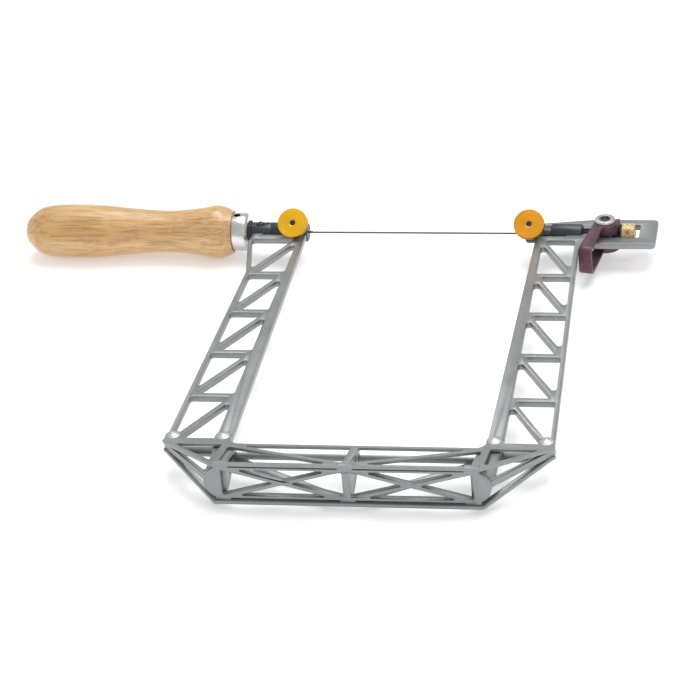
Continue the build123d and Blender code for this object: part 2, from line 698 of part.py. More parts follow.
def keeper_screw(face, into):
    """Grub screw whose tip runs in the spigot's groove."""
    low = SPIGOT_DIAMETER / 2 - SPIGOT_GROOVE + RUN_CLEAR
    high = BAR_DIAMETER / 2 - 0.4
    screw = disc(KEEPER_RADIUS, low, high, face + into * keeper_place())
    socket = hexagon(0.5, high - 0.5, high + 1, face + into * keeper_place())
    return screw - socket


def detent_ball(face, into):
    x = face + into * (BALL_RADIUS - BALL_TRACK)
    return Pos(x, 0, -BALL_CIRCLE) * Sphere(BALL_RADIUS)


def detent_spring(face, into):
    """Spring behind the ball, as a thin sleeve."""
    start = face + into * (BALL_RADIUS * 2 - BALL_TRACK)
    ends = sorted((start, start + into * SPRING_LENGTH))
    sleeve = rod(BALL_RADIUS, *ends, z=-BALL_CIRCLE)
    return sleeve - rod(BALL_RADIUS - SPRING_WALL, ends[0] - 1, ends[1] + 1, z=-BALL_CIRCLE)


# ---- clamp heads ----
def turned(shape):
    """A clamp piece drawn with its knob up, turned to the stop where it stands."""
    return Rot(SWIVEL_REST, 0, 0) * shape


def clamp_head(length, neck, slot, gap, screw):
    """Clamp head from its tip at x = 0 to its spigot, knob side up."""
    radius = HEAD_DIAMETER / 2
    face = length + neck
    head = chamfer(rod(radius, 0, length).edges().sort_by(Axis.X)[0], 0.8)
    if neck:
        head += rod(NECK_DIAMETER / 2, length, face)
    head += rod(SPIGOT_DIAMETER / 2, face, face + SPIGOT_LENGTH)
    centre = face + keeper_place()
    ring = KEEPER_RADIUS + 0.1
    groove = rod(SPIGOT_DIAMETER / 2 + 1, centre - ring, centre + ring)
    groove -= rod(SPIGOT_DIAMETER / 2 - SPIGOT_GROOVE, centre - 2, centre + 2)
    head -= groove
    track = rod(BALL_CIRCLE + BALL_RADIUS, face - BALL_TRACK - SIDE_CLEAR, face + 0.01)
    track -= rod(BALL_CIRCLE - BALL_RADIUS, face - 1, face + 1)
    head -= track
    head -= block((-1, slot), (-radius - 1, radius + 1), (-gap, gap))
    flat = WASHER_RADIUS + 0.3
    head -= block((screw - flat, screw + flat), (-radius - 1, radius + 1),
                  (HEAD_FLAT, radius + 1))
    head -= disc(SCREW_RADIUS + THREAD_CLEAR, -radius - 1, radius + 1, screw, SCREW_SIDE)
    return head


def at_left(shape, along=0):
    """A clamp piece put at the fixed end, along from the head's tip."""
    return Pos(LEFT_TIP - along, 0, 0) * mirror(turned(shape), Plane.YZ)


def at_right(shape, along=0):
    """A clamp piece put at the tension end, along from the head's tip."""
    return Pos(RIGHT_TIP + along, 0, 0) * turned(shape)


def fixed_head():
    slot = blade_end_left() + BLADE_END_ROOM
    gap = BLADE_THICK / 2
    return at_left(clamp_head(HOUSING_END - SIDE_CLEAR, 0, slot, gap, FIXED_SCREW_BACK))


def tension_head():
    slot = TENSION_HEAD + 1.1
    gap = BLADE_THICK / 2 + RUN_CLEAR
    neck = NECK_LENGTH - SIDE_CLEAR
    return at_right(clamp_head(TENSION_HEAD, neck, slot, gap, TENSION_SCREW_BACK))


def clamp_washer():
    ring = disc(WASHER_RADIUS, HEAD_FLAT, HEAD_FLAT + WASHER_THICK, 0, SCREW_SIDE)
    return ring - disc(WASHER_HOLE, HEAD_FLAT - 1, HEAD_FLAT + 2, 0, SCREW_SIDE)


def clamp_screw():
    top = KNOB_UNDER + KNOB_THICK - KNOB_DISH_DEEP
    low = -HEAD_DIAMETER / 2 + 0.5
    screw = disc(SCREW_RADIUS, low, top, 0, SCREW_SIDE)
    return chamfer(screw.edges().sort_by(Axis.Z)[0], 0.3)


def clamp_knob():
    """Thin round knob on a hub, with the end of its screw sunk in the face."""
    seat = HEAD_FLAT + WASHER_THICK
    top = KNOB_UNDER + KNOB_THICK
    knob = disc(KNOB_DIAMETER / 2, KNOB_UNDER, top)
    knob = chamfer(knob.edges(), KNOB_BEVEL)
    knob += disc(KNOB_HUB, seat, KNOB_UNDER + 0.1)
    knob -= disc(SCREW_RADIUS, seat - 1, top + 1)
    knob -= disc(KNOB_DISH, top - KNOB_DISH_DEEP, top + 1)
    return Pos(0, SCREW_SIDE, 0) * knob


# ---- blade ----
def blade_end_left():
    """How far the blade runs into the fixed head."""
    return (BLADE_LENGTH - CLAMP_GAP) / 2 + BLADE_SHIFT


def blade():
    """Fine strip with a row of raked teeth on its outer edge."""
    low = LEFT_TIP - blade_end_left()
    high = low + BLADE_LENGTH
    back = -BLADE_WIDTH / 2
    edge = BLADE_WIDTH / 2
    points = [(low, back), (low, edge)]
    count = int(TOOTHED / TOOTH_PITCH)
    start = -count * TOOTH_PITCH / 2
    for tooth in range(count):
        x = start + tooth * TOOTH_PITCH
        points += [(x, edge), (x + 0.15 * TOOTH_PITCH, edge - TOOTH_DEPTH),
                   (x + 0.55 * TOOTH_PITCH, edge - TOOTH_DEPTH)]
    points += [(start + count * TOOTH_PITCH, edge), (high, edge), (high, back)]
    strip = plate(polygon(points), -BLADE_THICK / 2, BLADE_THICK / 2)
    return turned(strip)


# ---- tension end ----
def slider():
    """Round bar that runs in the fork, grooved to sit over the edges of its slot."""
    radius = SLIDER_DIAMETER / 2
    bar = rod(radius, SLIDER_FACE, SLIDER_BACK)
    bar = chamfer(bar.edges().sort_by(Axis.X)[-1], SLIDER_CHAMFER)
    for side in (-1, 1):
        inner = SLOT_WIDTH / 2 - GUIDE_CLEAR
        span = sorted((side * inner, side * (radius + 1)))
        bar -= block((SLIDER_FACE - 1, SLIDER_BACK + 1), span,
                     (-HALF - GUIDE_CLEAR, HALF + GUIDE_CLEAR))
    bar -= swivel_bore(SLIDER_FACE, 1)
    bar -= rod(ROD_RADIUS, rod_start(), SLIDER_BACK + 1)
    return bar


def rod_start():
    return SLIDER_FACE + SPIGOT_LENGTH + 2.5


def nut_end():
    return PIVOT_X + CAM_HIGH + RUN_CLEAR + THRUST_THICK + RUN_CLEAR + NUT_LENGTH


def tension_rod():
    bar = rod(ROD_RADIUS, rod_start(), nut_end() - ROD_SHORT)
    return chamfer(bar.edges().sort_by(Axis.X)[-1], 0.4)


def pivot_barrel():
    """Upright pin that seats in the end of the wide slot and lets the rod through."""
    top = LEVER_HALF + 0.05
    body = disc(BARREL_RADIUS, -top, top) + disc(COLLAR_RADIUS, -COLLAR_HALF, COLLAR_HALF)
    body -= block((-COLLAR_RADIUS - 1, -COLLAR_RADIUS + SEAT_DEEP), (-6, 6), (-HALF, HALF))
    body -= rod(ROD_HOLE, -COLLAR_RADIUS - 1, COLLAR_RADIUS + 1)
    for side in (-1, 1):
        ends = sorted((side * (top - PIVOT_SHANK_LONG), side * (top + 1)))
        body -= disc(PIVOT_SHANK, *ends)
    return Pos(PIVOT_X, 0, 0) * body


def pivot_screws():
    """Low round socket-head screws, one above and one below."""
    seat = LEVER_HALF + 0.05
    top = seat + PIVOT_HEAD_TALL
    head = chamfer(disc(PIVOT_HEAD, seat, top).edges().sort_by(Axis.Z)[-1], 0.7)
    head -= disc(PIVOT_SOCKET_FLATS / 2 + 0.9, top - 0.3, top + 1)
    head -= hexagon(PIVOT_SOCKET_FLATS, top - PIVOT_SOCKET_DEEP, top + 1)
    screw = Pos(PIVOT_X, 0, 0) * (head + disc(PIVOT_SHANK, seat - PIVOT_SHANK_LONG + 0.1, seat))
    return [screw, mirror(screw, Plane.XY)]


# ---- lever ----
def cam_outline():
    """Cam whose reach towards the nut grows evenly with the lever's turn."""
    growth = CAM_RISE / radians(LEVER_TRAVEL)
    spare = 12
    steps = 12
    working = []
    for step in range(steps + 1):
        turn = radians(-(LEVER_TRAVEL + spare) + step * (LEVER_TRAVEL + 2 * spare) / steps)
        reach = CAM_HIGH + growth * turn
        working.append((reach * cos(turn) - growth * sin(turn),
                        reach * sin(turn) + growth * cos(turn)))
    face = spline_lobe(working)
    return face + Circle(CAM_BACK)


def spline_lobe(points):
    curve = Spline(*points)
    close = Polyline(curve @ 1, (0, 0), curve @ 0)
    return make_face(curve + close)


def lever_plan():
    """Strap seen from above: it starts beside the pivot and widens to its pull end."""
    near = LEVER_WIDTH / 2
    far = LEVER_WIDTH_END / 2
    strap = polygon([(-near, 0), (near, 0), (far, -LEVER_REACH - 1), (-far, -LEVER_REACH - 1)])
    return Rot(0, 0, LEVER_ANGLE + 90) * Pos(-LEVER_OFFSET, 0, 0) * strap


def lever_loop():
    """U-shaped strap seen from the side: two arms joined round the pull end."""
    outer = polygon([(-LEVER_REACH, -LEVER_HALF), (20, -LEVER_HALF), (20, LEVER_HALF),
                     (-LEVER_REACH, LEVER_HALF)])
    inside = LEVER_HALF - LEVER_WALL
    inner = polygon([(-LEVER_REACH + LEVER_WALL, -inside), (21, -inside), (21, inside),
                     (-LEVER_REACH + LEVER_WALL, inside)])
    outer = fillet([v for v in outer.vertices() if v.X < 0], LEVER_BEND)
    inner = fillet([v for v in inner.vertices() if v.X < 0], LEVER_BEND - LEVER_WALL)
    strap = Plane.YZ * (outer - inner)
    solid = Pos(-20, 0, 0) * extrude(strap, 40, dir=(1, 0, 0))
    return Rot(0, 0, LEVER_ANGLE + 90) * solid


def tension_lever():
    lever = lever_loop() & plate(lever_plan(), -LEVER_HALF - 1, LEVER_HALF + 1)
    boss = plate(cam_outline(), COLLAR_HALF + SIDE_CLEAR, LEVER_HALF)
    lever += boss + mirror(boss, Plane.XY)
    lever -= disc(BARREL_RADIUS + RUN_CLEAR, -LEVER_HALF - 1, LEVER_HALF + 1)
    return Pos(PIVOT_X, 0, 0) * lever


# ---- tension nut ----
def thrust_washer():
    start = PIVOT_X + CAM_HIGH + RUN_CLEAR
    ring = rod(THRUST_RADIUS, start, start + THRUST_THICK)
    return ring - rod(ROD_RADIUS + THREAD_CLEAR, start - 1, start + 2)


def tension_nut():
    """Round nut with a straight knurl."""
    end = nut_end()
    start = end - NUT_LENGTH
    body = chamfer(rod(NUT_RADIUS, start, end).edges(), NUT_CHAMFER)
    groove = Pos(NUT_RADIUS + 0.15, 0) * Rot(0, 0, 45) * Rectangle(2 * KNURL_DEEP, 2 * KNURL_DEEP)
    grooves = Plane.YZ * Sketch(children=[Rot(0, 0, 360 / KNURLS * n) * groove
                                          for n in range(KNURLS)])
    body -= Pos(start - 1, 0, 0) * extrude(grooves, NUT_LENGTH + 2, dir=(1, 0, 0))
    return body - rod(ROD_RADIUS + THREAD_CLEAR, start - 1, end + 1)


# ---- the saw ----
def all_nodes():
    left = HOUSING_FACE, -1
    right = SLIDER_FACE, 1
    nodes = {
        "handle_grip": grip(),
        "handle_ferrule": ferrule(),
        "lock_nut": lock_nut(),
        "handle_arm": handle_arm(),
        "tension_arm": tension_arm(),
        "cage_top_sheet": cage_sheet(1),
        "cage_bottom_sheet": cage_sheet(-1),
        "cage_web": cage_web(),
        "cage_brace_handle_end": cage_brace(-1),
        "cage_brace_middle": cage_brace(0),
        "cage_brace_tension_end": cage_brace(1),
        "cage_rivets": cage_rivets(),
        "fixed_housing": housing_bar(),
        "housing_screw": cross_screw(),
        "housing_nut": cross_nut(),
        "fixed_keeper_screw": keeper_screw(*left),
        "fixed_detent_ball": detent_ball(*left),
        "fixed_detent_spring": detent_spring(*left),
        "fixed_clamp_head": fixed_head(),
        "fixed_clamp_washer": at_left(clamp_washer(), FIXED_SCREW_BACK),
        "fixed_clamp_screw": at_left(clamp_screw(), FIXED_SCREW_BACK),
        "fixed_clamp_knob": at_left(clamp_knob(), FIXED_SCREW_BACK),
        "blade": blade(),
        "tension_slider": slider(),
        "tension_rod": tension_rod(),
        "tension_keeper_screw": keeper_screw(*right),
        "tension_detent_ball": detent_ball(*right),
        "tension_detent_spring": detent_spring(*right),
        "tension_clamp_head": tension_head(),
        "tension_clamp_washer": at_right(clamp_washer(), TENSION_SCREW_BACK),
        "tension_clamp_screw": at_right(clamp_screw(), TENSION_SCREW_BACK),
        "tension_clamp_knob": at_right(clamp_knob(), TENSION_SCREW_BACK),
        "pivot_barrel": pivot_barrel(),
        "pivot_screws": pivot_screws(),
        "tension_lever": tension_lever(),
        "thrust_washer": thrust_washer(),
        "tension_nut": tension_nut(),
    }
    return {name: shape if isinstance(shape, list) else [shape] for name, shape in nodes.items()}


def main():
    os.makedirs("parts", exist_ok=True)
    nodes = all_nodes()
    whole = Compound(children=[s for shapes in nodes.values() for s in shapes]).bounding_box()
    middle = (whole.min + whole.max) / 2
    ground = Pos(-middle.X, -middle.Y, -whole.min.Z)
    for name, shapes in nodes.items():
        placed = [ground * solid for shape in shapes for solid in shape.solids()]
        export_step(Compound(children=placed), f"parts/{name}.step")
    print("blade middle at", round(-middle.X, 3), round(-middle.Y, 3), round(-whole.min.Z, 3))


main()
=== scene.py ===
import json
from math import cos, pi, radians, sin

import bmesh
import bpy
from mathutils import Euler, Matrix, Vector

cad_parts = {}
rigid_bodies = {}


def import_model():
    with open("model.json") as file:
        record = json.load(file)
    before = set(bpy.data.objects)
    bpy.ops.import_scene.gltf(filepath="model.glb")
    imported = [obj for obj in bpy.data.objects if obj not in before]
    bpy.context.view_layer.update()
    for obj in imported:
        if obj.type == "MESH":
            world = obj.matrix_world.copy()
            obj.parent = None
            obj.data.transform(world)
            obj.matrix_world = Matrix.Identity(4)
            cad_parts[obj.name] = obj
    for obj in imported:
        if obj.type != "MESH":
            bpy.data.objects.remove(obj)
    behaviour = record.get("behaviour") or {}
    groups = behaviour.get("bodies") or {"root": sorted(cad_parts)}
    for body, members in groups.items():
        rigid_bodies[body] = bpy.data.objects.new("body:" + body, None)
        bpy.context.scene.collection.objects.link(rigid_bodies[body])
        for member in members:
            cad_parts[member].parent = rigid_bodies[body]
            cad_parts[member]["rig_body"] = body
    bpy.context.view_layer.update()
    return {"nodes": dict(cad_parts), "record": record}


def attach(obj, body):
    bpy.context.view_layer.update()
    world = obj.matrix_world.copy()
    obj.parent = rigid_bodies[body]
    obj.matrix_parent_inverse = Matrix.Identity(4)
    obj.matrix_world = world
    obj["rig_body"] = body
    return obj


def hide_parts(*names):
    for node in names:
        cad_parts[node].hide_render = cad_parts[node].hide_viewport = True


# A deep-throat fret saw lying on a pale table. Sizes are in millimetres until they are placed.

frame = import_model()

MM = 0.001
BLADE_MIDDLE = Vector((41.75, 108.988, 13.925))   # middle of the blade, in the saw's own frame

# ---- sizes shared with the plain model ----
CLAMP_TIP = 56.0            # blade's middle to a clamp head's tip
HOUSING_BACK = -85.6
LOCK_NUT = 1.3
FERRULE_LENGTH = 10.6
FERRULE_SUNK = 2.3
GRIP_LENGTH = 110.6
GRIP_RADIUS = 13.9
FERRULE_RADIUS = 9.8
TANG_RADIUS = 3.0
KNOB_RADIUS = 7.8
KNOB_LOW = 8.95             # clamp's axis to the underside of the knob's disc
KNOB_HIGH = 11.65
KNOB_SEAT = 4.3
KNOB_HUB = 2.5
KNOB_HOLE = 1.45
KNOB_HOLE_DEEP = 1.1
SCREW_RADIUS = 1.0
SCREW_SIDE = 1.65
FIXED_SCREW_BACK = 6.5
TENSION_SCREW_BACK = 2.8
CLAMP_SCREWS = {"fixed": -CLAMP_TIP - FIXED_SCREW_BACK, "tension": CLAMP_TIP + TENSION_SCREW_BACK}
CLAMP_TURN = radians(45)
RIVET_HEAD = 3.15
RIVET_DOME = 1.1
RIVET_SHANK = 1.6
RIVET_SEAT = 3.2
RIVET_ROW = -197.2
RIVET_COLUMNS = (-83.7, -60.1, 65.5, 89.1)
NUT_RADIUS = 5.2
NUT_START = 104.45
NUT_END = 111.5
ROD_RADIUS = 1.5
ROD_START = 75.0
ROD_END = 110.7
PIVOT_X = 96.4
PIVOT_TOP = 8.85
PIVOT_RECESS = 2.9
PIVOT_RECESS_DEEP = 0.3

# ---- sizes of what the plain model leaves out ----
GRIP_RIM = 0.15             # room between the ferrule and the grip's nose
GRIP_EDGE = 0.35            # rounded edge of the nose
TANG_DEPTH = 40.0           # foot of the tang's hole above the butt
EDGE_BREAK = 0.2            # broken edges of the sheets and the arms
LEVER_BREAK = 0.22
NECK_BREAK = 0.15           # ferrule and lock nut
SCREW_BREAK = 0.14
CLAMP_BREAK = 0.12          # clamp heads and slider
SMALL_BREAK = 0.08          # washers and small screws
KNOB_EDGE = 0.4
KNOB_GROOVES = 9
KNOB_GROOVE_STEP = 0.55
KNOB_GROOVE_HALF = 0.08
KNOB_GROOVE_DEEP = 0.025
KNURLS = 22                 # grooves of each hand about the nut
KNURL_DEEP = 0.34
KNURL_LEAD = 1.1
NUT_EDGE = 0.5
SPOT_TURN = radians(50)     # where the red spot is round the nut
ROD_PITCH = 0.5
ROD_THREAD = 0.22
CLAMP_PITCH = 0.4
CLAMP_THREAD = 0.16
CLAMP_SCREW_LOW = -4.45     # clamp's axis to the screw's foot
CUP_WALL = 0.12
CUP_GAP = 0.02
HEX_DEEP = 0.5
CLAMP_HEX = 1.5             # across the flats of each socket
PIVOT_HEX = 3.9
CLAMP_CUP_RISE = 0.66       # socket's rim above the end of its screw
PIVOT_CUP_RISE = 0.1


def at(x, y, z):
    """A point given about the blade's middle, in metres in the saw's own frame."""
    return (BLADE_MIDDLE + Vector((x, y, z))) * MM


# ---- shader maths ----
class Wire:
    """A shader socket that takes part in sums."""

    def __init__(self, paint, socket):
        self.paint = paint
        self.socket = socket

    def maths(self, operation, first, second):
        inputs = {0: first, 1: second}
        return self.paint.node("ShaderNodeMath", {"operation": operation}, inputs)

    def __add__(self, other):
        return self.maths("ADD", self, other)

    def __radd__(self, other):
        return self.maths("ADD", other, self)

    def __sub__(self, other):
        return self.maths("SUBTRACT", self, other)

    def __rsub__(self, other):
        return self.maths("SUBTRACT", other, self)

    def __mul__(self, other):
        return self.maths("MULTIPLY", self, other)

    def __rmul__(self, other):
        return self.maths("MULTIPLY", other, self)

    def __pow__(self, other):
        return self.maths("POWER", self, other)


class Paint:
    """A material: its node tree, and short ways of adding to it."""

    def __init__(self, name, **constants):
        self.material = bpy.data.materials.new(name)
        self.material.use_nodes = True
        self.tree = self.material.node_tree
        self.tree.nodes.clear()
        self.output = self.tree.nodes.new("ShaderNodeOutputMaterial")
        self.shader = self.tree.nodes.new("ShaderNodeBsdfPrincipled")
        self.tree.links.new(self.shader.outputs["BSDF"], self.output.inputs["Surface"])
        for socket, value in constants.items():
            self.shader.inputs[socket.replace("_", " ")].default_value = value

    def node(self, kind, settings, inputs, output=0):
        """Adds a node: its type, its settings, its inputs, and the output that is wanted."""
        made = self.tree.nodes.new(kind)
        for name, value in settings.items():
            setattr(made, name, value)
        for name, value in inputs.items():
            self.feed(made.inputs[name], value)
        return Wire(self, made.outputs[output])

    def feed(self, socket, value):
        if isinstance(value, Wire):
            self.tree.links.new(value.socket, socket)
        else:
            socket.default_value = value

    def set(self, socket, wire):
        self.feed(self.shader.inputs[socket], wire)

    def place(self, scale=(1, 1, 1)):
        """Where a point is on its piece, in metres times scale."""
        spot = self.node("ShaderNodeTexCoord", {}, {}, "Object")
        return self.node("ShaderNodeVectorMath", {"operation": "MULTIPLY"}, {0: spot, 1: scale})

    def noise(self, vector, scale, detail=3.0, roughness=0.55, distortion=0.0):
        inputs = {"Vector": vector, "Scale": scale, "Detail": detail,
                  "Roughness": roughness, "Distortion": distortion}
        return self.node("ShaderNodeTexNoise", {}, inputs)

    def ramp(self, value, low, high, floor=0.0, ceiling=1.0):
        """Value stretched so that low becomes floor and high becomes ceiling, and held there."""
        inputs = {"Value": value, "From Min": low, "From Max": high,
                  "To Min": floor, "To Max": ceiling}
        return self.node("ShaderNodeMapRange", {"clamp": True}, inputs)

    def mix(self, factor, first, second):
        """Two colours mixed."""
        inputs = {"Factor": factor, 6: first, 7: second}
        return self.node("ShaderNodeMix", {"data_type": "RGBA"}, inputs, 2)

    def bump(self, height, depth, strength=1.0):
        """A bumped normal, with the bump's depth in millimetres."""
        inputs = {"Strength": strength, "Distance": depth * MM, "Height": height}
        self.set("Normal", self.node("ShaderNodeBump", {}, inputs))

    def radius(self):
        """Distance from the piece's own Z axis, in metres."""
        spot = self.node("ShaderNodeTexCoord", {}, {}, "Object")
        parts = {"X": None, "Y": None}
        split = self.tree.nodes.new("ShaderNodeSeparateXYZ")
        self.feed(split.inputs[0], spot)
        for name in parts:
            parts[name] = Wire(self, split.outputs[name])
        return (parts["X"] * parts["X"] + parts["Y"] * parts["Y"]) ** 0.5


def grey(value):
    return (value, value, value, 1.0)


def colour(red, green, blue):
    return (red, green, blue, 1.0)


# ---- materials ----
def titanium():
    """Bead-blasted titanium sheet, handled a little."""
    paint = Paint("satin_titanium", Metallic=0.68)
    blast = paint.noise(paint.place(), 2600.0, 2.0)
    cloud = paint.noise(paint.place(), 55.0, 4.0)
    scuff = paint.noise(paint.place((1, 0.08, 1)), 900.0, 2.0, 0.6, 0.4)
    rubbed = paint.ramp(scuff, 0.63, 0.72)
    base = paint.mix(paint.ramp(cloud, 0.3, 0.7),
                     colour(0.23, 0.242, 0.246), colour(0.305, 0.316, 0.318))
    speck = paint.mix(paint.ramp(blast, 0.35, 0.65),
                      colour(0.19, 0.2, 0.204), colour(0.37, 0.38, 0.384))
    body = paint.mix(0.45, base, speck)
    paint.set("Base Color", paint.mix(rubbed * 0.35, body, grey(0.5)))
    paint.set("Roughness", paint.ramp(cloud, 0.3, 0.7, 0.34, 0.46) - rubbed * 0.08)
    paint.bump(blast + scuff * 0.4, 0.03, 0.7)
    return paint.material


def rivet_steel():
    paint = Paint("rivet_steel", Metallic=0.7)
    fine = paint.noise(paint.place(), 1800.0)
    ring = paint.noise(paint.place((1, 1, 3)), 420.0)
    paint.set("Base Color", paint.mix(fine, grey(0.44), grey(0.64)))
    paint.set("Roughness", paint.ramp(ring, 0.3, 0.7, 0.3, 0.44))
    paint.bump(fine, 0.015, 0.6)
    return paint.material


def lacquered_wood():
    """Pale hardwood turned on a lathe and lacquered: streaks along the grip and fine pores."""
    paint = Paint("lacquered_wood", Coat_Roughness=0.26, Coat_IOR=1.5, Specular_IOR_Level=0.4)
    board = paint.noise(paint.place((1, 1, 0.12)), 130.0, 4.0, 0.6, 0.8)
    streak = paint.noise(paint.place((1, 1, 0.05)), 900.0, 3.0, 0.65)
    pore = paint.noise(paint.place((1, 1, 0.12)), 2600.0, 2.0, 0.6)
    fleck = paint.noise(paint.place((1, 1, 0.3)), 900.0, 2.0, 0.6)
    light = paint.mix(paint.ramp(board, 0.32, 0.68),
                      colour(0.565, 0.335, 0.122), colour(0.7, 0.455, 0.2))
    lines = paint.mix(paint.ramp(streak, 0.42, 0.66, 0.0, 0.8), light, colour(0.36, 0.185, 0.062))
    flecks = paint.mix(paint.ramp(fleck, 0.6, 0.72, 0.0, 0.55), lines, colour(0.66, 0.46, 0.23))
    pores = paint.ramp(pore, 0.64, 0.74, 0.0, 0.45)
    paint.set("Base Color", paint.mix(pores, flecks, colour(0.34, 0.18, 0.07)))
    paint.set("Roughness", paint.ramp(streak, 0.3, 0.7, 0.3, 0.42))
    paint.set("Coat Weight", paint.ramp(board, 0.2, 0.8, 0.6, 0.9))
    paint.bump(streak - pores, 0.03, 0.35)
    return paint.material


def nickel():
    paint = Paint("bright_nickel", Metallic=1.0)
    turned = paint.noise(paint.place((1, 1, 1)), 160.0, 3.0)
    lines = paint.noise(paint.place((0.02, 0.02, 1)), 5200.0, 2.0)
    dull = paint.noise(paint.place(), 900.0, 3.0)
    paint.set("Base Color", paint.mix(turned, grey(0.54), grey(0.74)))
    paint.set("Roughness", paint.ramp(dull, 0.35, 0.7, 0.2, 0.34))
    paint.bump(lines + dull * 0.6, 0.012, 0.5)
    return paint.material


def black_oxide():
    """Oiled black steel."""
    paint = Paint("black_oxide", Metallic=0.35, Specular_IOR_Level=0.7)
    cloud = paint.noise(paint.place(), 260.0, 4.0)
    lines = paint.noise(paint.place((1, 0.05, 0.05)), 3800.0, 2.0)
    worn = paint.ramp(paint.noise(paint.place(), 800.0, 3.0), 0.62, 0.74)
    base = paint.mix(cloud, colour(0.018, 0.02, 0.025), colour(0.052, 0.056, 0.066))
    paint.set("Base Color", paint.mix(worn * 0.25, base, grey(0.12)))
    paint.set("Roughness", paint.ramp(cloud, 0.3, 0.7, 0.27, 0.4))
    paint.bump(lines, 0.01, 0.5)
    return paint.material


def turned_anodised(name, dark, light, worn, side):
    """Anodised aluminium faced on a lathe, with rings about the piece's own axis, and painted
    shade on the knob's outer side.
    """
    paint = Paint(name, Metallic=0.5)
    rings = paint.node("ShaderNodeTexNoise", {"noise_dimensions": "1D"},
                       {"W": paint.radius(), "Scale": 9000.0, "Detail": 2.0})
    band = paint.node("ShaderNodeTexNoise", {"noise_dimensions": "1D"},
                      {"W": paint.radius(), "Scale": 1300.0, "Detail": 1.0})
    cloud = paint.noise(paint.place(), 230.0, 3.0)
    dye = paint.mix(paint.ramp(cloud * 0.5 + band * 0.5, 0.3, 0.7), dark, light)
    wear = paint.ramp(paint.noise(paint.place(), 1500.0, 2.0), 0.66, 0.76, 0.0, 0.3)
    face = paint.mix(wear, dye, worn)
    # Painted shade: the outer side of the knob, which faces down away from the light, takes the
    # darker side colour.
    rim = paint.ramp(paint.radius(), (KNOB_RADIUS - 0.2) * MM, (KNOB_RADIUS - 0.05) * MM)
    paint.set("Base Color", paint.mix(rim, face, side))
    paint.set("Roughness", paint.ramp(band, 0.3, 0.7, 0.3, 0.42))
    paint.bump(rings, 0.012, 0.5)
    return paint.material


def plum_anodised():
    paint = Paint("plum_anodised", Metallic=0.45)
    cloud = paint.noise(paint.place(), 190.0, 4.0)
    brushed = paint.noise(paint.place((1, 0.06, 1)), 2400.0, 3.0)
    worn = paint.ramp(paint.noise(paint.place(), 950.0, 3.0), 0.6, 0.74, 0.0, 0.5)
    dye = paint.mix(paint.ramp(cloud, 0.3, 0.7),
                    colour(0.08, 0.034, 0.047), colour(0.145, 0.066, 0.09))
    paint.set("Base Color", paint.mix(worn, dye, colour(0.24, 0.15, 0.18)))
    paint.set("Roughness", paint.ramp(cloud, 0.3, 0.7, 0.34, 0.48))
    paint.bump(brushed + cloud * 0.5, 0.015, 0.6)
    return paint.material


def plain_metal(name, dark, light, shine, grain):
    """Turned or drawn metal: a cloudy colour, roughness about shine and a fine grain."""
    paint = Paint(name, Metallic=0.9)
    cloud = paint.noise(paint.place(), 320.0, 4.0)
    fine = paint.noise(paint.place(grain), 3200.0, 2.0)
    paint.set("Base Color", paint.mix(cloud * 0.6 + fine * 0.4, dark, light))
    paint.set("Roughness", paint.ramp(cloud, 0.3, 0.7, shine - 0.06, shine + 0.08))
    paint.bump(fine, 0.01, 0.5)
    return paint.material


def red_enamel():
    paint = Paint("red_enamel", Coat_Weight=0.3)
    cloud = paint.noise(paint.place(), 900.0)
    paint.set("Base Color", paint.mix(cloud, colour(0.42, 0.05, 0.012), colour(0.66, 0.12, 0.03)))
    paint.set("Roughness", paint.ramp(cloud, 0.3, 0.7, 0.3, 0.45))
    paint.bump(cloud, 0.02, 0.4)
    return paint.material


FINISHES = {
    "titanium_grey": titanium(),
    "steel_rivet": rivet_steel(),
    "lacquered_wood": lacquered_wood(),
    "nickel": nickel(),
    "black_oxide": black_oxide(),
    "bright_steel": plain_metal("bright_steel", grey(0.42), grey(0.68), 0.26, (1, 1, 0.1)),
    "blade_steel": plain_metal("blade_steel", colour(0.1, 0.09, 0.075),
                               colour(0.2, 0.185, 0.16), 0.34, (0.1, 1, 1)),
    # The last colour given to each knob finish is painted shade for the knob's outer side.
    "gold_anodised": turned_anodised("gold_anodised", colour(0.74, 0.39, 0.006),
                                     colour(0.86, 0.5, 0.012), colour(0.92, 0.66, 0.16),
                                     colour(0.32, 0.14, 0.004)),
    "plum_anodised": plum_anodised(),
    "brass": plain_metal("pale_brass", colour(0.5, 0.38, 0.17),
                         colour(0.78, 0.65, 0.37), 0.26, (1, 1, 1)),
}
# Its last colour is painted shade for the knob's outer side.
ORANGE_GOLD = turned_anodised("orange_gold_anodised", colour(0.66, 0.26, 0.008),
                              colour(0.8, 0.37, 0.014), colour(0.9, 0.56, 0.15),
                              colour(0.26, 0.1, 0.004))
RED_ENAMEL = red_enamel()


# ---- making pieces ----
def add(name, mesh, matrix, body, material, stands_for=()):
    """Puts a mesh in the scene as a piece that rides on a body and shows in place of nodes."""
    piece = bpy.data.objects.new(name, mesh)
    bpy.context.scene.collection.objects.link(piece)
    piece.matrix_world = matrix
    mesh.materials.clear()
    mesh.materials.append(material)
    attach(piece, body)
    if stands_for:
        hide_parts(*stands_for)
    return piece


def mesh_from(name, points, faces):
    mesh = bpy.data.meshes.new(name)
    mesh.from_pydata([Vector(p) * MM for p in points], [], faces)
    shell = bmesh.new()
    shell.from_mesh(mesh)
    bmesh.ops.recalc_face_normals(shell, faces=shell.faces)
    shell.to_mesh(mesh)
    shell.free()
    mesh.validate()
    return mesh


def smooth(mesh, angle=32):
    """Smooth shading, with a sharp line wherever two faces meet at more than angle."""
    mesh.shade_smooth()
    mesh.set_sharp_from_angle(angle=radians(angle))
    return mesh


def hexagon(flats):
    """Radius of a hexagon at each turn, for a lathe profile."""
    def reach(turn):
        return flats / 2 / cos((turn + pi / 6) % (pi / 3) - pi / 6)
    return reach


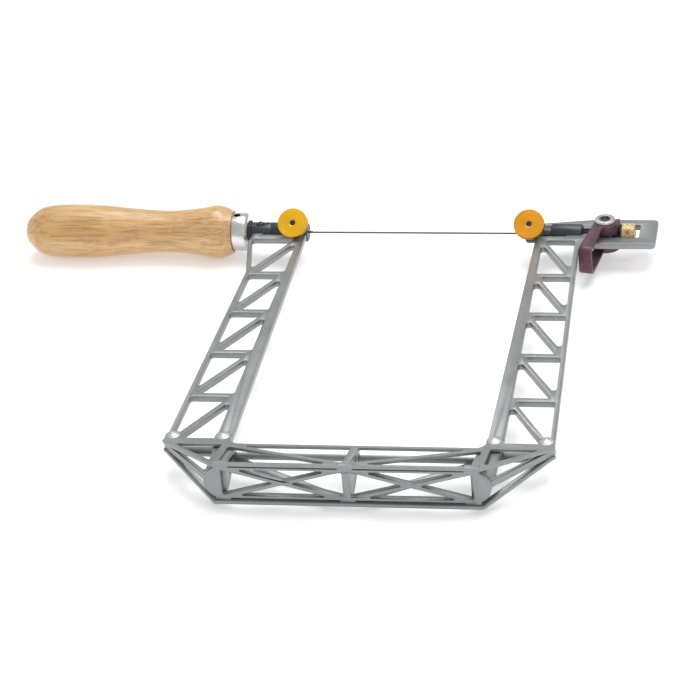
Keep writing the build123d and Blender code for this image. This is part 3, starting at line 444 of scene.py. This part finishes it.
def lathe(name, profile, steps=96):
    """Turns a closed profile of (radius, height) points about the Z axis, in millimetres.
    A radius may be a function of the turn."""
    points = []
    for step in range(steps):
        turn = 2 * pi * step / steps
        for r, z in profile:
            reach = r(turn) if callable(r) else r
            points.append((reach * cos(turn), reach * sin(turn), z))
    count = len(profile)
    faces = []
    for step in range(steps):
        here, there = step * count, (step + 1) % steps * count
        for k in range(count):
            after = (k + 1) % count
            faces.append((here + k, there + k, there + after, here + after))
    mesh = mesh_from(name, points, faces)
    shell = bmesh.new()
    shell.from_mesh(mesh)
    bmesh.ops.remove_doubles(shell, verts=shell.verts, dist=1e-7)
    bmesh.ops.dissolve_degenerate(shell, edges=shell.edges, dist=1e-7)
    bmesh.ops.recalc_face_normals(shell, faces=shell.faces)
    shell.to_mesh(mesh)
    shell.free()
    return smooth(mesh)


def along_x(x):
    """Matrix that lays a turned piece along +X with its Z = 0 at x."""
    return Matrix.Translation(at(x, 0, 0)) @ Euler((0, pi / 2, 0)).to_matrix().to_4x4()


def clamp_matrix(x):
    """Matrix that stands a turned piece on a clamp, along the clamp's own screw."""
    turn = Matrix.Rotation(CLAMP_TURN, 4, "X")
    aside = Matrix.Translation(Vector((0, SCREW_SIDE, 0)) * MM)
    return Matrix.Translation(at(x, 0, 0)) @ turn @ aside


def curve_through(points, steps=6):
    """Smooth line through points, as a Catmull-Rom curve."""
    line = []
    padded = [points[0]] + list(points) + [points[-1]]
    for a, b, c, d in zip(padded, padded[1:], padded[2:], padded[3:]):
        for step in range(steps):
            t = step / steps
            line.append(tuple(0.5 * (2 * q + (r - p) * t + (2 * p - 5 * q + 4 * r - s) * t ** 2
                                     + (3 * q - p - 3 * r + s) * t ** 3)
                              for p, q, r, s in zip(a, b, c, d)))
    return line + [tuple(points[-1])]


def softened(node, width, slot, segments=2, angle=28):
    """The node's own shape with its flat faces joined and its edges broken by a small bevel."""
    source = frame["nodes"][node]
    shell = bmesh.new()
    shell.from_mesh(source.data)
    bmesh.ops.remove_doubles(shell, verts=shell.verts, dist=2e-6)
    bmesh.ops.dissolve_limit(shell, angle_limit=radians(0.5), verts=shell.verts, edges=shell.edges)
    mesh = bpy.data.meshes.new(node + "_softened")
    shell.to_mesh(mesh)
    shell.free()
    mesh.shade_smooth()
    holder = bpy.data.objects.new("bevel_holder", mesh)
    bpy.context.scene.collection.objects.link(holder)
    bevel = holder.modifiers.new("edge_break", "BEVEL")
    bevel.width = width * MM
    bevel.segments = segments
    bevel.limit_method = "ANGLE"
    bevel.angle_limit = radians(angle)
    bevel.use_clamp_overlap = False
    bevel.harden_normals = True
    bpy.context.view_layer.update()
    ready = holder.evaluated_get(bpy.context.evaluated_depsgraph_get())
    final = bpy.data.meshes.new_from_object(ready)
    bpy.data.objects.remove(holder)
    final.name = node + "_mesh"
    body = source["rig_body"]
    return add(node + "_shown", final, Matrix.Identity(4), body, FINISHES[slot], [node])


def repaint():
    """Every plain node takes the finish of its own material slot."""
    slots = {part["node"]: part["material_slot"] for part in frame["record"]["subparts"]}
    for name, node in frame["nodes"].items():
        node.data.materials.clear()
        node.data.materials.append(FINISHES[slots[name]])


# ---- pieces ----
def grip():
    """Turned grip: a rounded butt, a waist, and a nose cut back for the ferrule."""
    nose = HOUSING_BACK - LOCK_NUT - FERRULE_LENGTH + FERRULE_SUNK
    along = (0.024, 0.088, 0.21, 0.37, 0.53, 0.69, 0.83, 0.93, 1.0)
    share = (0.56, 0.90, 1.0, 0.975, 0.85, 0.775, 0.865, 0.985, 0.79)
    knots = [(s * GRIP_RADIUS, a * GRIP_LENGTH) for a, s in zip(along, share)]
    butt = [(0.0, 0.0), (0.17, 0.15), (0.33, 0.6), (0.46, 1.45)]
    start = [(r * GRIP_RADIUS, z) for r, z in butt]
    skin = start + [(min(r, GRIP_RADIUS), z) for r, z in curve_through(knots, 10)]
    rim = FERRULE_RADIUS + GRIP_RIM
    sunk = GRIP_LENGTH - FERRULE_SUNK
    end = [(rim + GRIP_EDGE, GRIP_LENGTH), (rim, GRIP_LENGTH - GRIP_EDGE), (rim, sunk),
           (TANG_RADIUS, sunk), (TANG_RADIUS, TANG_DEPTH), (0.0, TANG_DEPTH)]
    mesh = lathe("grip_mesh", skin + end, 160)
    matrix = along_x(nose - GRIP_LENGTH)
    add("grip_shown", mesh, matrix, "frame", FINISHES["lacquered_wood"],
        ["handle_grip"])


def rivet_heads():
    """Domed heads with a faint ring round the foot of each dome."""
    ball = (RIVET_HEAD ** 2 + RIVET_DOME ** 2) / (2 * RIVET_DOME)
    foot = 0.86
    profile = [(0.0, RIVET_DOME - 0.12), (0.45, RIVET_DOME - 0.1), (0.6, RIVET_DOME - 0.03)]
    for step in range(3, 15):
        r = RIVET_HEAD * foot * step / 14
        profile.append((r, RIVET_DOME - ball + (ball ** 2 - r ** 2) ** 0.5))
    low = profile[-1][1]
    profile += [(RIVET_HEAD * foot + 0.08, low - 0.08), (RIVET_HEAD - 0.14, 0.2),
                (RIVET_HEAD - 0.02, 0.12), (RIVET_HEAD, 0.0), (RIVET_SHANK, 0.0),
                (RIVET_SHANK, -RIVET_SEAT), (0.0, -RIVET_SEAT)]
    for number, x in enumerate(RIVET_COLUMNS):
        for side in (1, -1):
            name = f"rivet_{number + 1}_{'top' if side > 0 else 'under'}"
            flip = Matrix.Rotation(0 if side > 0 else pi, 4, "X")
            matrix = Matrix.Translation(at(x, RIVET_ROW, side * RIVET_SEAT)) @ flip
            add(name, lathe(name + "_mesh", profile, 48), matrix, "frame",
                FINISHES["steel_rivet"], ["cage_rivets"])


def knob(end, material):
    """Thin round knob: faced in fine steps, with a pale chamfer about its hole."""
    side = [(KNOB_RADIUS - KNOB_EDGE, KNOB_LOW), (KNOB_RADIUS - 0.1, KNOB_LOW + 0.25),
            (KNOB_RADIUS, KNOB_LOW + KNOB_EDGE), (KNOB_RADIUS, KNOB_HIGH - KNOB_EDGE),
            (KNOB_RADIUS - 0.12, KNOB_HIGH - 0.12), (KNOB_RADIUS - KNOB_EDGE, KNOB_HIGH)]
    face = []
    for groove in range(KNOB_GROOVES):
        r = KNOB_RADIUS - 0.9 - groove * KNOB_GROOVE_STEP
        face += [(r + KNOB_GROOVE_HALF, KNOB_HIGH), (r, KNOB_HIGH - KNOB_GROOVE_DEEP),
                 (r - KNOB_GROOVE_HALF, KNOB_HIGH)]
    hole = [(KNOB_HOLE + 0.55, KNOB_HIGH), (KNOB_HOLE + 0.05, KNOB_HIGH - 0.22),
            (KNOB_HOLE, KNOB_HIGH - 0.3), (KNOB_HOLE, KNOB_HIGH - KNOB_HOLE_DEEP),
            (SCREW_RADIUS, KNOB_HIGH - KNOB_HOLE_DEEP), (SCREW_RADIUS, KNOB_SEAT)]
    hub = [(KNOB_HUB - 0.2, KNOB_SEAT), (KNOB_HUB, KNOB_SEAT + 0.2), (KNOB_HUB, KNOB_LOW)]
    node = end + "_clamp_knob"
    mesh = lathe(node + "_shown_mesh", side + face + hole + hub, 128)
    matrix = clamp_matrix(CLAMP_SCREWS[end])
    add(node + "_shown", mesh, matrix, end + "_knob", material, [node])


def threaded(name, radius, low, high, pitch, depth, steps=24, cone=0.4):
    """A rod with a real thread cut along it, about the Z axis."""
    per_turn = 4
    rows = int((high - low) / pitch * per_turn)
    points = []
    for row in range(rows + 1):
        z = low + (high - low) * row / rows
        from_end = min(z - low, high - z)
        limit = radius - max(0.0, cone - from_end)
        for step in range(steps):
            turn = step / steps
            phase = ((z - low) / pitch - turn) % 1.0
            r = min(limit, radius - depth * abs(2 * phase - 1))
            points.append((r * cos(2 * pi * turn), r * sin(2 * pi * turn), z))
    faces = [tuple(reversed(range(steps))), tuple(range(rows * steps, (rows + 1) * steps))]
    for row in range(rows):
        for step in range(steps):
            a = row * steps + step
            b = row * steps + (step + 1) % steps
            faces.append((a, b, b + steps, a + steps))
    return smooth(mesh_from(name, points, faces), 50)


def nut():
    """Knurled nut with crossed spiral grooves that leave small diamonds."""
    turns, rows = 240, 36
    length = NUT_END - NUT_START
    points = []
    for row in range(rows + 1):
        z = length * row / rows
        edge = min(z, length - z)
        limit = NUT_RADIUS - max(0.0, NUT_EDGE - edge)
        for step in range(turns):
            turn = 2 * pi * step / turns
            twist = z / NUT_RADIUS * KNURL_LEAD
            one = abs(sin(KNURLS * (turn + twist) / 2))
            two = abs(sin(KNURLS * (turn - twist) / 2))
            r = min(limit, NUT_RADIUS - KNURL_DEEP * (1 - min(1.0, 2.2 * one * two)))
            points.append((r * cos(turn), r * sin(turn), z))
    inner = ROD_RADIUS + 0.05
    last = len(points)
    for z in (0.0, length):
        points += [(inner * cos(2 * pi * s / turns), inner * sin(2 * pi * s / turns), z)
                   for s in range(turns)]
    faces = []
    for step in range(turns):
        after = (step + 1) % turns
        for row in range(rows):
            a, b = row * turns + step, row * turns + after
            faces.append((a, b, b + turns, a + turns))
        top = rows * turns
        faces.append((step, last + step, last + after, after))
        faces.append((top + step, top + after, last + turns + after, last + turns + step))
        faces.append((last + step, last + turns + step, last + turns + after, last + after))
    mesh = smooth(mesh_from("nut_mesh", points, faces), 40)
    add("tension_nut_shown", mesh, along_x(NUT_START), "nut", FINISHES["brass"],
        ["tension_nut"])


def index_spot():
    """Red spot on the nut's side."""
    profile = [(0.0, 0.12), (0.7, 0.1), (1.0, 0.02), (1.05, -0.4), (0.0, -0.4)]
    mesh = lathe("index_spot_mesh", profile, 40)
    lean = Matrix.Rotation(SPOT_TURN, 4, "X")
    lift = Matrix.Translation(Vector((0, 0, NUT_RADIUS - 0.02)) * MM)
    matrix = Matrix.Translation(at((NUT_START + NUT_END) / 2, 0, 0)) @ lean @ lift
    add("nut_index_spot", mesh, matrix, "nut", RED_ENAMEL)


def screws():
    """The rod and the two clamp screws, with their threads."""
    length = ROD_END - ROD_START
    rod_mesh = threaded("rod_mesh", ROD_RADIUS, 0.0, length, ROD_PITCH, ROD_THREAD)
    add("tension_rod_shown", rod_mesh, along_x(ROD_START), "slider",
        FINISHES["black_oxide"], ["tension_rod"])
    top = KNOB_HIGH - KNOB_HOLE_DEEP
    for end, x in CLAMP_SCREWS.items():
        mesh = threaded(end + "_screw_mesh", SCREW_RADIUS, CLAMP_SCREW_LOW, top, CLAMP_PITCH,
                        CLAMP_THREAD, 20, 0.3)
        add(end + "_clamp_screw_shown", mesh, clamp_matrix(x), end + "_knob",
            FINISHES["black_oxide"], [end + "_clamp_screw"])


def socket_cup(name, matrix, rim, flats, body, z):
    """Black hexagon socket with a flat rim, sunk in the end of a screw; in the bright pivot screws
    this black is painted shade in the recess.
    """
    hexed = hexagon(flats)
    floor = z - HEX_DEEP
    profile = [(rim, z - CUP_WALL), (rim, z), (hexed, z), (hexed, floor), (0.0, floor),
               (0.0, floor - CUP_WALL), (rim, floor - CUP_WALL)]
    add(name, lathe(name + "_mesh", profile, 72), matrix, body,
        FINISHES["black_oxide"])


def sockets():
    """Sockets in the knobs' holes and in both pivot screws; the black sockets in the bright pivot
    screws are painted shade.
    """
    for end, x in CLAMP_SCREWS.items():
        socket_cup(end + "_screw_socket", clamp_matrix(x), KNOB_HOLE - CUP_GAP, CLAMP_HEX,
                   end + "_knob", KNOB_HIGH - KNOB_HOLE_DEEP + CLAMP_CUP_RISE)
    # Painted shade: black cups sunk in the recess of each bright steel pivot screw, darkening its
    # hex socket.
    for side, flip in (("top", 0), ("under", pi)):
        matrix = Matrix.Translation(at(PIVOT_X, 0, 0)) @ Matrix.Rotation(flip, 4, "X")
        socket_cup("pivot_painted_shade_socket_" + side, matrix, PIVOT_RECESS - CUP_GAP, PIVOT_HEX, "frame",
                   PIVOT_TOP - PIVOT_RECESS_DEEP + PIVOT_CUP_RISE)


def softened_nodes():
    """Plain nodes that only need their edges broken: width, material slot, nodes."""
    jobs = (
        (EDGE_BREAK, "titanium_grey", "handle_arm tension_arm cage_top_sheet cage_bottom_sheet"),
        (EDGE_BREAK, "titanium_grey", "cage_web cage_brace_handle_end cage_brace_middle"),
        (EDGE_BREAK, "titanium_grey", "cage_brace_tension_end"),
        (NECK_BREAK, "nickel", "handle_ferrule"),
        (NECK_BREAK, "black_oxide", "lock_nut"),
        (EDGE_BREAK, "black_oxide", "fixed_housing"),
        (CLAMP_BREAK, "black_oxide", "fixed_clamp_head tension_clamp_head tension_slider"),
        (LEVER_BREAK, "plum_anodised", "tension_lever"),
        (SCREW_BREAK, "bright_steel", "pivot_screws"),
        (SMALL_BREAK, "black_oxide", "housing_screw housing_nut"),
        (SMALL_BREAK, "bright_steel", "fixed_clamp_washer tension_clamp_washer"),
        (SMALL_BREAK, "black_oxide", "thrust_washer"),
    )
    for width, slot, nodes in jobs:
        for node in nodes.split():
            softened(node, width, slot)


# ---- camera, lights and table ----
def camera():
    """Looks down from the spine's side, turned a little so that the saw leans in the view."""
    aim = at(-15.1, -115.238, -0.025)
    heading, height, roll = radians(12.59), radians(30.86), radians(-5.79)
    away = 1.4684
    ahead = Vector((-sin(heading) * cos(height), cos(heading) * cos(height), -sin(height)))
    level = Vector((cos(heading), sin(heading), 0))
    upright = level.cross(ahead)
    right = level * cos(roll) + upright * sin(roll)
    up = upright * cos(roll) - level * sin(roll)
    data = bpy.data.cameras.new("camera")
    data.lens = 157.77
    data.sensor_width = 36
    data.clip_start = 0.05
    data.clip_end = 20
    holder = bpy.data.objects.new("camera", data)
    bpy.context.scene.collection.objects.link(holder)
    spot = aim - ahead * away
    holder.matrix_world = Matrix((
        (right.x, up.x, -ahead.x, spot.x),
        (right.y, up.y, -ahead.y, spot.y),
        (right.z, up.z, -ahead.z, spot.z),
        (0, 0, 0, 1)))
    bpy.context.scene.camera = holder


def light(name, where, aim, size, power):
    data = bpy.data.lights.new(name, "AREA")
    data.shape = "RECTANGLE"
    data.size, data.size_y = size
    data.energy = power
    holder = bpy.data.objects.new(name, data)
    bpy.context.scene.collection.objects.link(holder)
    holder.location = where
    holder.rotation_euler = (Vector(aim) - Vector(where)).to_track_quat("-Z", "Y").to_euler()


def studio():
    world = bpy.data.worlds.new("studio")
    bpy.context.scene.world = world
    world.use_nodes = True
    world.node_tree.nodes["Background"].inputs["Color"].default_value = (1, 1, 1, 1)
    world.node_tree.nodes["Background"].inputs["Strength"].default_value = 0.66
    light("overhead", (0.25, 0.55, 1.7), (0, 0, 0), (1.7, 1.2), 25)
    light("front", (0.9, -1.5, 1.3), (0, 0, 0), (1.2, 1.0), 2.5)
    half = 6.0
    mesh = bpy.data.meshes.new("table")
    mesh.from_pydata([(-half, -half, 0), (half, -half, 0), (half, half, 0), (-half, half, 0)],
                     [], [(0, 1, 2, 3)])
    table = bpy.data.objects.new("table", mesh)
    bpy.context.scene.collection.objects.link(table)
    white = Paint("white_table", Roughness=0.9, Specular_IOR_Level=0.1)
    white.shader.inputs["Base Color"].default_value = grey(0.86)
    white.shader.inputs["Emission Color"].default_value = grey(1.0)
    white.shader.inputs["Emission Strength"].default_value = 0.32
    mesh.materials.append(white.material)
    bpy.context.scene.view_settings.view_transform = "Standard"


camera()
repaint()
softened_nodes()
grip()
rivet_heads()
knob("fixed", FINISHES["gold_anodised"])
knob("tension", ORANGE_GOLD)
screws()
sockets()
nut()
index_spot()
studio()
